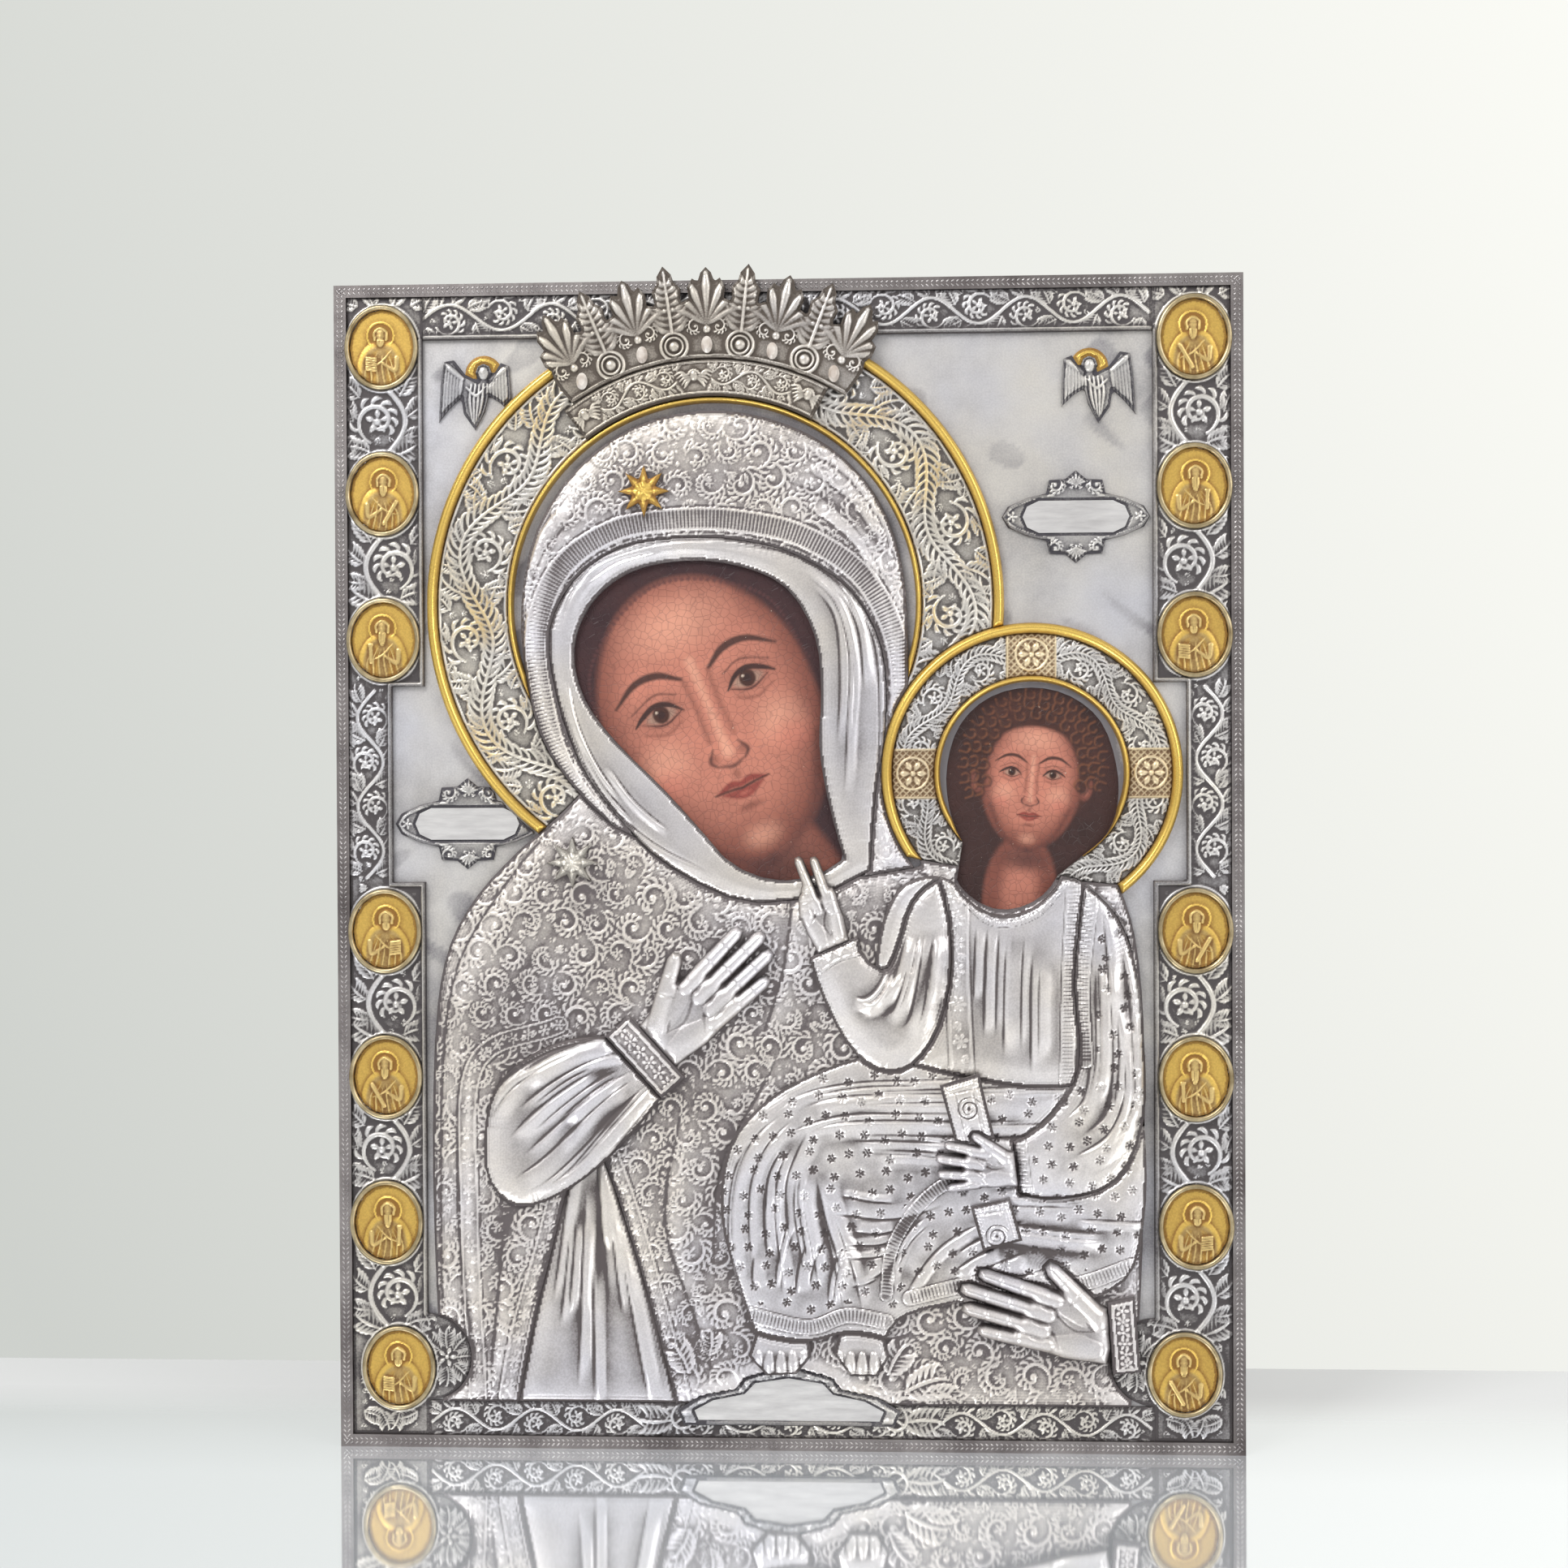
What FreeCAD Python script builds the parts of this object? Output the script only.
"""A tabletop icon: a joined wooden panel, a painted ground and a silver cover of many embossed sheets.

The frame stands on the middle of the panel's lower edge: X runs to the viewer's right, Z up, and the
pictured face looks towards -Y. Every front sheet is placed by its depth, its distance from the middle
plane of the board towards the viewer. Lengths are millimetres and angles are degrees.
"""

import FreeCAD, Part
import math
import os
import Sketcher

V = FreeCAD.Vector
doc = FreeCAD.newDocument("icon")

# Driving dimensions

SIZES = {
    # the joined panel
    "panel_height": 400,
    "board_thickness": 28,
    "middle_plank_width": 116,
    "ground_thickness": 1.5,
    "field_sheet": 0.6,
    # the two dovetailed battens on the back
    "batten_wide_end": 38,
    "batten_narrow_end": 32,
    "batten_depth": 9,
    "batten_proud": 6,
    "batten_undercut": 3,
    "batten_slack": 0.15,
    # thicknesses and heights of the silver pieces
    "edge_sheet": 0.8,
    "edge_lip_height": 2,
    "border_sheet": 1.4,
    "bead_height": 2.6,
    "medallion_thickness": 1.3,
    "collet_height": 2.2,
    "halo_sheet": 2,
    "rim_height": 4,
    "crown_sheet": 2,
    "crown_clearance": 0.1,
    "stone_height": 1.5,
    "hood_height": 5,
    "cap_height": 4,
    "mantle_height": 4.5,
    "mantle_fold_rise": 0.7,
    "mantle_fold_width": 7,
    "dress_height": 3.4,
    "limb_height": 4,
    "robe_height": 4.6,
    "hand_height": 3.4,
    "hand_bevel": 0.6,
    "sheet_bevel": 1.1,
    "angel_height": 2.4,
    "cartouche_height": 2.2,
    "cartouche_plate_sheet": 1.1,
    "star_height": 2.2,
    "pin_radius": 0.8,
    "pin_height": 0.5,
    "pin_pitch": 62,
    # the hanger on the back
    "hanger_from_top": 26,
    "hanger_clearance": 4.75,
    "strap_width": 14,
    "strap_length": 31,
    "strap_sheet": 1,
    "barrel_wall": 1,
    "ring_wire_radius": 1.25,
    "ring_bore_slack": 0.3,
    "ring_width": 25,
    "ring_drop": 16,
    "ring_shoulder_radius": 3,
    "ring_bow_radius": 10,
    "screw_radius": 1.5,
    "screw_length": 13,
    "screw_head_radius": 2.9,
    "screw_head_height": 1.4,
    "screw_slack": 0.2,
    "near_screw": 8,
    "far_screw": 24,
}

# The picture keeps its proportions: these lengths and places are shares of the panel's height

PICTURE_SHARES = {
    "panel_width": 0.775,
    "batten_length": 0.705,
    # the edging's lip and the border strips
    "edge_lip_width": 0.0105,
    "side_border_width": 0.07625,
    "waist_border_width": 0.04825,
    "top_border_width": 0.0475,
    "bottom_border_width": 0.04,
    "bead_width": 0.00375,
    "waist_rise": 0.0765,
    "waist_drop": 0.0915,
    "corner_swell_radius": 0.0375,
    # the oval medallions in their collets
    "medallion_half_width": 0.028,
    "medallion_half_height": 0.0325,
    "medallion_pitch": 0.1255,
    "medallion_from_side": 0.0415,
    "medallion_from_top": 0.05375,
    "lower_medallion_rise": 0.445,
    "corner_medallion_shift": 0.01,
    "collet_width": 0.00275,
    # the two haloes
    "mother_halo_x": -0.06125,
    "mother_halo_z": 0.72375,
    "mother_halo_width": 0.075,
    "child_halo_x": 0.20875,
    "child_halo_z": 0.57875,
    "child_halo_width": 0.05,
    "halo_gap": 0.00275,
    "outer_rim_width": 0.009,
    "inner_rim_width": 0.005,
    # the crown
    "crown_band_width": 0.03125,
    "crown_reach": 0.28625,
    "stone_half_width": 0.00475,
    "stone_half_height": 0.00725,
    # hands and small applied pieces
    "hand_length": 0.1325,
    "child_hand_length": 0.0825,
    "angel_span": 0.07,
    "angel_from_corner": 0.04375,
    "cartouche_half_width": 0.0625,
    "cartouche_half_height": 0.04,
    "upper_cartouche_z": 0.796,
    "lower_cartouche_z": 0.53725,
    "cartouche_from_field_edge": 0.0645,
    "title_half_width": 0.09,
    "title_half_height": 0.03125,
    "title_rise": 0.04375,
    "star_radius": 0.0225,
}

# Angles and ratios

BAND_TILT = -4.5
CRESTING_TILT = -1
CROWN_PITCH = 14.6
STAR_RAYS = 8
PIN_SIDES = 8
RING_SIDES = 6
STAR_WAIST_SHARE = 0.46
STONE_GIRDLE_SHARE = 0.35
STONE_TABLE_SHARE = 0.55
STONE_RISE_SHARE = 0.065
SCREW_FACE_SHARE = 0.6
RIM_SLOPE_SHARE = 0.25

rows = {alias: str(value) for alias, value in SIZES.items()}
rows.update({alias: f"={share} * panel_height" for alias, share in PICTURE_SHARES.items()})
sheet = doc.addObject("Spreadsheet::Sheet", "Sizes")
for row, (alias, content) in enumerate(rows.items(), start=1):
    sheet.set(f"A{row}", alias)
    sheet.set(f"B{row}", content)
    sheet.setAlias(f"B{row}", alias)
doc.recompute()


def size(alias):
    """The value of one driving dimension, read from the sheet."""
    return float(sheet.get(alias))


# Depths, as expressions on the sheet, from the middle of the board outwards either way

BOARD_FACE = "(Sizes.board_thickness / 2)"
GROUND_FRONT = f"({BOARD_FACE} + Sizes.ground_thickness)"
FIELD_FRONT = f"({GROUND_FRONT} + Sizes.field_sheet)"
BORDER_FRONT = f"({FIELD_FRONT} + Sizes.border_sheet)"
HALO_FRONT = f"({FIELD_FRONT} + Sizes.halo_sheet)"

board_face = size("board_thickness") / 2
ground_front = board_face + size("ground_thickness")
field_front = ground_front + size("field_sheet")
border_front = field_front + size("border_sheet")
mantle_front = field_front + size("mantle_height")
robe_front = mantle_front + size("robe_height")
crown_back = field_front + size("rim_height") + size("crown_clearance")

# Places that several sheets share

half_width = size("panel_width") / 2
height = size("panel_height")
mother_x = size("mother_halo_x")
mother_z = size("mother_halo_z")
child_x = size("child_halo_x")
child_z = size("child_halo_z")
field_half_width = half_width - size("side_border_width")
mother_radius = field_half_width + mother_x - size("halo_gap")
child_radius = half_width - size("waist_border_width") - child_x - size("halo_gap")
mother_hole = mother_radius - size("mother_halo_width")
child_hole = child_radius - size("child_halo_width")
MOTHER_RADIUS = "(Sizes.panel_width / 2 - Sizes.side_border_width + Sizes.mother_halo_x - Sizes.halo_gap)"
CHILD_RADIUS = "(Sizes.panel_width / 2 - Sizes.waist_border_width - Sizes.child_halo_x - Sizes.halo_gap)"
MOTHER_HOLE = f"({MOTHER_RADIUS} - Sizes.mother_halo_width)"
CHILD_HOLE = f"({CHILD_RADIUS} - Sizes.child_halo_width)"

kept = {}


def keep(node, item):
    """Names an object as a finished sub-part."""
    item.Label = node
    kept[node] = item
    return item


# Sketches and bodies


def new_body(name):
    """An empty body."""
    return doc.addObject("PartDesign::Body", name)


def new_sketch(body, name, plane, offset="0"):
    """A sketch on one of the body's own planes, moved off it by an expression."""
    drawing = body.newObject("Sketcher::SketchObject", name)
    origin_plane = next(f for f in body.Origin.OriginFeatures if f.Role == plane)
    drawing.AttachmentSupport = [(origin_plane, "")]
    drawing.MapMode = "FlatFace"
    drawing.setExpression(".AttachmentOffset.Base.z", offset)
    return drawing


def draw_polygon(drawing, corners):
    """Adds a closed polygon. Each corner is a pair of expressions, and both are bound."""
    first = drawing.GeometryCount
    count = len(corners)
    turn = 2 * math.pi / count
    spots = [V(math.cos(turn * k), math.sin(turn * k), 0) for k in range(count)]
    for k in range(count):
        drawing.addGeometry(Part.LineSegment(spots[k], spots[(k + 1) % count]), False)
    for k in range(count):
        joint = Sketcher.Constraint("Coincident", first + k, 2, first + (k + 1) % count, 1)
        drawing.addConstraint(joint)
    for k, corner in enumerate(corners):
        for kind, spot, expression in zip(("DistanceX", "DistanceY"), spots[k], corner):
            bound = drawing.addConstraint(Sketcher.Constraint(kind, -1, 1, first + k, 1, spot))
            drawing.setExpression(f"Constraints[{bound}]", expression)


def draw_circle(drawing, x, y, radius):
    """Adds a circle whose centre and radius are bound to expressions."""
    circle = drawing.addGeometry(Part.Circle(V(1, 1, 0), V(0, 0, 1), 1), False)
    for kind, expression in (("DistanceX", x), ("DistanceY", y)):
        bound = drawing.addConstraint(Sketcher.Constraint(kind, -1, 1, circle, 3, 1.0))
        drawing.setExpression(f"Constraints[{bound}]", expression)
    bound = drawing.addConstraint(Sketcher.Constraint("Radius", circle, 1.0))
    drawing.setExpression(f"Constraints[{bound}]", radius)


def pad(body, drawing, length, kind="PartDesign::Pad"):
    """A pad, or a pocket, of a bound length."""
    feature = body.newObject(kind, drawing.Name + "_solid")
    feature.Profile = drawing
    feature.setExpression("Length", length)
    return feature


def place(item, x="0", y="0", z="0"):
    """Binds an object's place to expressions."""
    for axis, expression in zip("xyz", (x, y, z)):
        item.setExpression(f".Placement.Base.{axis}", expression)


def cut(name, base, *tools):
    """The base with each tool taken out of it."""
    for k, tool in enumerate(tools):
        result = doc.addObject("Part::Cut", f"{name}_cut_{k}")
        result.Base = base
        result.Tool = tool
        base = result
    return base


def disc(name, x, z, radius, back, thickness):
    """A round plate facing the viewer, as a bound cylinder."""
    plate = doc.addObject("Part::Cylinder", name)
    plate.setExpression("Radius", radius)
    plate.setExpression("Height", thickness)
    plate.Placement.Rotation = FreeCAD.Rotation(V(1, 0, 0), 90)
    place(plate, x, f"-{back}", z)
    return plate


# Outlines: smooth curves through a few hand-set points, cut into short straight stretches

CORNER = "corner"
STEPS_PER_SPAN = 3


def smooth_outline(points):
    """The corners of a closed curve through (x, z) points, each smooth or marked as a corner."""
    count = len(points)
    spots = [V(p[0], 0, p[1]) for p in points]
    is_corner = [len(p) > 2 for p in points]
    tangents = [(spots[(k + 1) % count] - spots[k - 1]).normalize() for k in range(count)]
    outline = []
    for k in range(count):
        following = (k + 1) % count
        chord = spots[following] - spots[k]
        along = V(chord).normalize()
        outline.append(spots[k])
        if is_corner[k] and is_corner[following]:
            continue
        leave = tangents[k]
        arrive = tangents[following]
        if is_corner[k]:
            leave = along * (2 * along.dot(arrive)) - arrive
        if is_corner[following]:
            arrive = along * (2 * along.dot(leave)) - leave
        for step in range(1, STEPS_PER_SPAN):
            t = step / STEPS_PER_SPAN
            rest = 1 - t
            bend = (leave * rest - arrive * t) * (chord.Length * t * rest)
            outline.append(spots[k] + chord * (t * t * (1 + 2 * rest)) + bend)
    return outline


def ring_at(outline, depth):
    """The outline's corners at one depth."""
    return [V(spot.x, -depth, spot.z) for spot in outline]


def solid_between(rings):
    """A solid with flat faces through matching rings of corners, closed at both ends."""
    faces = [Part.Face(Part.makePolygon([*ring, ring[0]])) for ring in (rings[0], rings[-1])]
    for ring, following in zip(rings, rings[1:]):
        for k in range(len(ring)):
            corners = [ring[k - 1], ring[k], following[k], following[k - 1], ring[k - 1]]
            faces.append(Part.Face(Part.makePolygon(corners)))
    shell = Part.Shell(faces)
    shell.sewShape()
    solid = Part.Solid(shell)
    solid.fix(0, 0, 0)
    return solid


def prism(points, depth, thickness):
    """A solid plate from an outline, its back at the given depth."""
    back = ring_at(smooth_outline(points), depth)
    return Part.Face(Part.makePolygon([*back, back[0]])).extrude(V(0, -thickness, 0))


def inset(outline, margin):
    """The outline with every stretch moved inwards by a margin."""
    count = len(outline)
    winding = sum(outline[k - 1].cross(outline[k]).y for k in range(count))
    side = -1 if winding > 0 else 1
    moved = []
    for k in range(count):
        arrive = (outline[k] - outline[k - 1]).normalize()
        leave = (outline[(k + 1) % count] - outline[k]).normalize()
        inward = V(-(arrive.z + leave.z), 0, arrive.x + leave.x).normalize() * side
        half_turn_cosine = math.sqrt((1 + arrive.dot(leave)) / 2)
        moved.append(outline[k] + inward * (margin / half_turn_cosine))
    return moved


def bevelled(points, depth, thickness, bevel):
    """A solid plate from an outline, with its front edge bevelled all round."""
    outline = smooth_outline(points)
    rings = [
        ring_at(outline, depth),
        ring_at(outline, depth + thickness - bevel),
        ring_at(inset(outline, bevel), depth + thickness),
    ]
    return solid_between(rings)


def straight_sided(points):
    """The same outline with a corner at every point."""
    return [(p[0], p[1], CORNER) for p in points]


def add_shape(name, shape):
    """A feature that holds a finished shape."""
    feature = doc.addObject("Part::Feature", name)
    feature.Shape = shape
    return feature


# Board: three planks glued edge to edge, grooved across the back for two tapered battens


def dovetail_points(wide, slack, proud):
    """The dovetail's corners across the grain, centred on the batten's own line."""
    mouth = f"({wide} / 2 + {slack})"
    root = f"({wide} / 2 + Sizes.batten_undercut + {slack})"
    floor = f"{BOARD_FACE} - Sizes.batten_depth - {slack}"
    back = f"{BOARD_FACE} + {proud}"
    return [
        (floor, f"-{root}"),
        (BOARD_FACE, f"-{mouth}"),
        (back, f"-{mouth}"),
        (back, mouth),
        (BOARD_FACE, mouth),
        (floor, root),
    ]


def dovetail(body, name, kind, centre, wide_side, slack, proud):
    """A tapered dovetail across the panel, added to a batten or taken out of a plank."""
    ends = [("batten_wide_end", wide_side), ("batten_narrow_end", -wide_side)]
    sections = []
    for width, side in ends:
        reach = f"{side} * (Sizes.batten_length / 2 + {slack})"
        drawing = new_sketch(body, f"{name}_{width}", "YZ_Plane", reach)
        corners = [
            (y, f"{centre} + {z}") for y, z in dovetail_points(f"Sizes.{width}", slack, proud)
        ]
        draw_polygon(drawing, corners)
        sections.append(drawing)
    doc.recompute()
    feature = body.newObject(kind, f"{name}_dovetail")
    feature.Profile = sections[0]
    feature.Sections = sections[1:]
    feature.Ruled = True
    return feature


SQUARE = [("-", "-"), ("", "-"), ("", ""), ("-", "")]
RING_FROM_TOP = "(Sizes.hanger_from_top + Sizes.strap_length + Sizes.ring_drop + Sizes.ring_wire_radius)"
BATTEN_FROM_EDGE = f"({RING_FROM_TOP} + Sizes.hanger_clearance + Sizes.batten_wide_end / 2)"
BATTENS = {
    "batten_upper": (f"(Sizes.panel_height - {BATTEN_FROM_EDGE})", -1),
    "batten_lower": (BATTEN_FROM_EDGE, 1),
}

for node, (centre, wide_side) in BATTENS.items():
    batten = new_body(node)
    dovetail(batten, node, "PartDesign::AdditiveLoft", centre, wide_side, "0", "2 * Sizes.batten_proud")
    planed = new_sketch(batten, f"{node}_back", "XZ_Plane", f"-{BOARD_FACE} - Sizes.batten_proud")
    reach = "Sizes.batten_length"
    corners = [(f"{a}{reach}", f"{centre} + {b}{reach}") for a, b in SQUARE]
    draw_polygon(planed, corners)
    pad(batten, planed, "2 * Sizes.batten_proud", "PartDesign::Pocket")
    keep(node, batten)

BOARD_HALF = "(Sizes.panel_width / 2 - Sizes.edge_sheet)"
BOARD_FOOT = "Sizes.edge_sheet"
BOARD_HEAD = "(Sizes.panel_height - Sizes.edge_sheet)"
PLANKS = {
    "plank_left": (f"-{BOARD_HALF}", "-Sizes.middle_plank_width / 2"),
    "plank_middle": ("-Sizes.middle_plank_width / 2", "Sizes.middle_plank_width / 2"),
    "plank_right": ("Sizes.middle_plank_width / 2", BOARD_HALF),
}
HANGER_LINE = "(Sizes.panel_height - Sizes.hanger_from_top - Sizes.strap_length)"

for node, (left, right) in PLANKS.items():
    plank = new_body(node)
    face = new_sketch(plank, f"{node}_face", "XZ_Plane")
    draw_polygon(
        face, [(left, BOARD_FOOT), (right, BOARD_FOOT), (right, BOARD_HEAD), (left, BOARD_HEAD)]
    )
    solid = pad(plank, face, "Sizes.board_thickness")
    solid.Midplane = True
    for batten_node, (centre, wide_side) in BATTENS.items():
        groove = f"{node}_{batten_node}"
        dovetail(
            plank, groove, "PartDesign::SubtractiveLoft", centre, wide_side,
            "Sizes.batten_slack", "Sizes.batten_slack",
        )
    if node == "plank_middle":
        pilots = new_sketch(plank, "pilot_holes", "XZ_Plane", f"-{BOARD_FACE}")
        for screw in ("near_screw", "far_screw"):
            draw_circle(pilots, "0", f"{HANGER_LINE} + Sizes.{screw}", "Sizes.screw_radius")
        pad(plank, pilots, "Sizes.screw_length", "PartDesign::Pocket").Reversed = True
    keep(node, plank)

# Ground: the gessoed and painted skin of the board

ground = new_body("painted_ground")
ground_face = new_sketch(ground, "ground_face", "XZ_Plane", BOARD_FACE)
draw_polygon(
    ground_face,
    [
        (f"-{BOARD_HALF}", BOARD_FOOT),
        (BOARD_HALF, BOARD_FOOT),
        (BOARD_HALF, BOARD_HEAD),
        (f"-{BOARD_HALF}", BOARD_HEAD),
    ],
)
pad(ground, ground_face, "Sizes.ground_thickness")
keep("painted_ground", ground)

# Outlines of the mother, in shares of her halo's opening and from its centre

HOOD_SHARES = [
    (1.02, -1.3, CORNER), (0.98, -1.0), (0.96, -0.6), (0.96, -0.2), (0.93, 0.2), (0.8, 0.54),
    (0.57, 0.78), (0.27, 0.92), (-0.06, 0.96), (-0.4, 0.88), (-0.68, 0.68), (-0.88, 0.38),
    (-0.96, 0.0), (-0.93, -0.4), (-0.82, -0.74), (-0.5, -1.1, CORNER), (0.2, -1.34),
]
CAP_SHARES = [
    (0.77, -1.32, CORNER), (0.8, -0.94), (0.85, -0.58), (0.83, -0.22), (0.68, 0.06), (0.42, 0.24),
    (0.12, 0.32), (-0.17, 0.33), (-0.47, 0.28), (-0.7, 0.12), (-0.82, -0.12), (-0.79, -0.44),
    (-0.68, -0.76), (-0.49, -1.04), (-0.22, -1.3), (0.22, -1.48),
]
FACE_SHARES = [
    (0.64, -1.26, CORNER), (0.56, -0.96), (0.52, -0.7), (0.53, -0.44), (0.5, -0.16), (0.36, 0.08),
    (0.13, 0.19), (-0.15, 0.22), (-0.43, 0.16), (-0.62, 0.0), (-0.7, -0.22), (-0.65, -0.46),
    (-0.49, -0.68), (-0.25, -0.92), (0.04, -1.25, CORNER), (0.34, -1.37),
]


def from_mother(shares):
    """Points placed from the centre of the mother's halo, in shares of its opening."""
    return [(mother_x + mother_hole * p[0], mother_z + mother_hole * p[1], *p[2:]) for p in shares]


# Outlines of the child, in shares of his halo's radius and from its centre

CHILD_OPENING_SHARES = [
    (0.57, -0.2), (0.56, 0.06), (0.46, 0.34), (0.26, 0.51), (0.0, 0.57), (-0.27, 0.51), (-0.47, 0.33),
    (-0.56, 0.06), (-0.55, -0.22), (-0.46, -0.46, CORNER), (-0.5, -0.72, CORNER), (-0.26, -0.9),
    (0.0, -0.86), (0.17, -0.68, CORNER), (0.36, -0.53), (0.5, -0.4),
]
TUNIC_SHARES = [
    (-0.7, -0.68), (-0.52, -0.72, CORNER), (-0.27, -0.93), (0.0, -0.89), (0.19, -0.68, CORNER),
    (0.44, -0.79), (0.62, -1.05), (0.69, -1.5), (0.69, -1.93, CORNER), (0.17, -2.09), (-0.38, -2.03),
    (-0.97, -1.9, CORNER), (-1.04, -1.5), (-1.02, -1.1), (-0.9, -0.78),
]
HIMATION_SHARES = [
    (-1.02, -1.86, CORNER), (-0.4, -2.02), (0.17, -2.08), (0.68, -1.93, CORNER), (0.74, -2.5),
    (0.72, -3.0), (0.6, -3.36), (0.2, -3.52), (-0.36, -3.5), (-0.84, -3.6), (-0.98, -3.76, CORNER),
    (-1.24, -3.72), (-1.5, -3.78), (-1.86, -3.72, CORNER), (-1.98, -3.36), (-2.08, -2.92),
    (-2.02, -2.48), (-1.78, -2.18), (-1.4, -1.97),
]
RIGHT_SLEEVE_SHARES = [
    (-0.62, -0.7, CORNER), (-0.54, -1.1), (-0.58, -1.55), (-0.74, -1.88), (-0.95, -1.98),
    (-1.18, -1.86), (-1.37, -1.54), (-1.48, -1.22, CORNER), (-1.16, -1.08, CORNER), (-1.0, -1.3),
    (-0.9, -1.16), (-0.8, -0.86),
]
LEFT_SLEEVE_SHARES = [
    (0.34, -0.74, CORNER), (0.56, -0.96), (0.68, -1.3), (0.73, -1.8), (0.72, -2.32), (0.54, -2.7),
    (0.18, -2.82), (-0.1, -2.78, CORNER), (-0.14, -2.44, CORNER), (0.12, -2.26), (0.3, -1.93),
    (0.27, -1.4),
]
SCROLL_SHARES = [
    (-0.62, -2.06, CORNER), (-0.36, -1.98, CORNER), (-0.26, -2.4, CORNER), (-0.51, -2.47, CORNER),
]
SCROLL_FOOT_SHARES = [
    (-0.42, -2.86, CORNER), (-0.16, -2.8, CORNER), (-0.08, -3.08, CORNER), (-0.34, -3.15, CORNER),
]
FOOT_SHARES = [
    [(-1.84, -3.7, CORNER), (-1.5, -3.74, CORNER), (-1.48, -3.88), (-1.58, -4.0), (-1.78, -4.01),
     (-1.9, -3.88)],
    [(-1.28, -3.68, CORNER), (-1.0, -3.72, CORNER), (-0.96, -3.88), (-1.04, -4.01), (-1.22, -4.01),
     (-1.33, -3.86)],
]
MOTHER_LEFT_CUFF_SHARES = [
    (0.48, -3.5, CORNER), (0.66, -3.46, CORNER), (0.7, -3.96, CORNER), (0.52, -3.98, CORNER),
]


def from_child(shares):
    """Points placed from the centre of the child's halo, in shares of its radius."""
    return [(child_x + child_radius * p[0], child_z + child_radius * p[1], *p[2:]) for p in shares]


# Outlines of the mother's clothes, in shares of the panel's width and height

MANTLE_SHARES = [
    (-0.211, 0.577, CORNER), (-0.252, 0.544), (-0.297, 0.514), (-0.343, 0.476), (-0.374, 0.434),
    (-0.389, 0.38), (-0.395, 0.274), (-0.393, 0.162), (-0.385, 0.038, CORNER), (0.375, 0.038, CORNER),
    (0.386, 0.132), (0.391, 0.269), (0.39, 0.37), (0.381, 0.44), (0.363, 0.484, CORNER),
    (0.143, 0.506), (-0.04, 0.545),
]
MANTLE_FOLD_SHARES = [
    [(-0.368, 0.42), (-0.372, 0.3), (-0.371, 0.17), (-0.366, 0.06)],
    [(-0.338, 0.185), (-0.337, 0.12), (-0.33, 0.06)],
    [(-0.1, 0.3), (-0.122, 0.22), (-0.104, 0.13), (-0.08, 0.06)],
    [(-0.002, 0.4), (-0.012, 0.365), (-0.04, 0.33)],
]
DRESS_SHARES = [
    (-0.24, 0.24, CORNER), (-0.205, 0.25, CORNER), (-0.182, 0.2), (-0.155, 0.13),
    (-0.125, 0.04, CORNER), (-0.3, 0.04, CORNER), (-0.282, 0.11), (-0.258, 0.185),
]
MOTHER_SLEEVE_SHARES = [
    (-0.2, 0.355, CORNER), (-0.139, 0.303, CORNER), (-0.168, 0.275), (-0.206, 0.245), (-0.252, 0.22),
    (-0.297, 0.21), (-0.329, 0.23), (-0.335, 0.27), (-0.323, 0.31), (-0.29, 0.336), (-0.245, 0.352),
]
MOTHER_CUFF_SHARES = [
    (-0.2, 0.356, CORNER), (-0.174, 0.374, CORNER), (-0.112, 0.321, CORNER), (-0.138, 0.303, CORNER),
]


def on_panel(shares):
    """Points placed on the panel, in shares of its width and height."""
    return [(2 * half_width * p[0], height * p[1], *p[2:]) for p in shares]


def fold_points(line):
    """The outline of a fold: a line of points widened at its middle and closed at both ends."""
    half = size("mantle_fold_width") / 2
    left = []
    right = []
    for before, spot, after in zip(line, line[1:], line[2:]):
        length = math.hypot(after[0] - before[0], after[1] - before[1])
        across = ((after[1] - before[1]) / length * half, (before[0] - after[0]) / length * half)
        right.append((spot[0] + across[0], spot[1] + across[1]))
        left.append((spot[0] - across[0], spot[1] - across[1]))
    return [(*line[0], CORNER), *right, (*line[-1], CORNER), *left[::-1]]


# Hands: a palm and tapered fingers, in shares of the hand's length from the wrist

PALM_SHARES = [
    (-0.02, -0.17), (-0.02, 0.17), (0.26, 0.22), (0.5, 0.21), (0.56, 0.02), (0.5, -0.19), (0.26, -0.2),
]
OPEN_HAND_SHARES = [
    ((0.44, 0.16), (0.91, 0.2), 0.058, 0.046), ((0.47, 0.055), (1.0, 0.08), 0.058, 0.046),
    ((0.47, -0.05), (0.96, -0.04), 0.056, 0.045), ((0.42, -0.14), (0.83, -0.155), 0.054, 0.042),
    ((0.12, 0.12), (0.5, 0.36), 0.07, 0.05),
]
BLESSING_HAND_SHARES = [
    ((0.44, 0.12), (0.94, 0.15), 0.062, 0.048), ((0.46, 0.0), (1.0, 0.0), 0.062, 0.048),
    ((0.44, -0.1), (0.72, -0.02), 0.062, 0.052), ((0.38, -0.16), (0.62, -0.09), 0.062, 0.052),
    ((0.14, 0.12), (0.58, 0.19), 0.07, 0.052),
]
HOLDING_HAND_SHARES = [
    ((0.34, 0.16), (0.74, 0.22), 0.06, 0.05), ((0.4, 0.04), (0.82, 0.08), 0.062, 0.052),
    ((0.4, -0.08), (0.8, -0.08), 0.06, 0.052), ((0.36, -0.16), (0.7, -0.22), 0.056, 0.048),
    ((0.14, 0.14), (0.46, 0.34), 0.07, 0.05),
]


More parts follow.
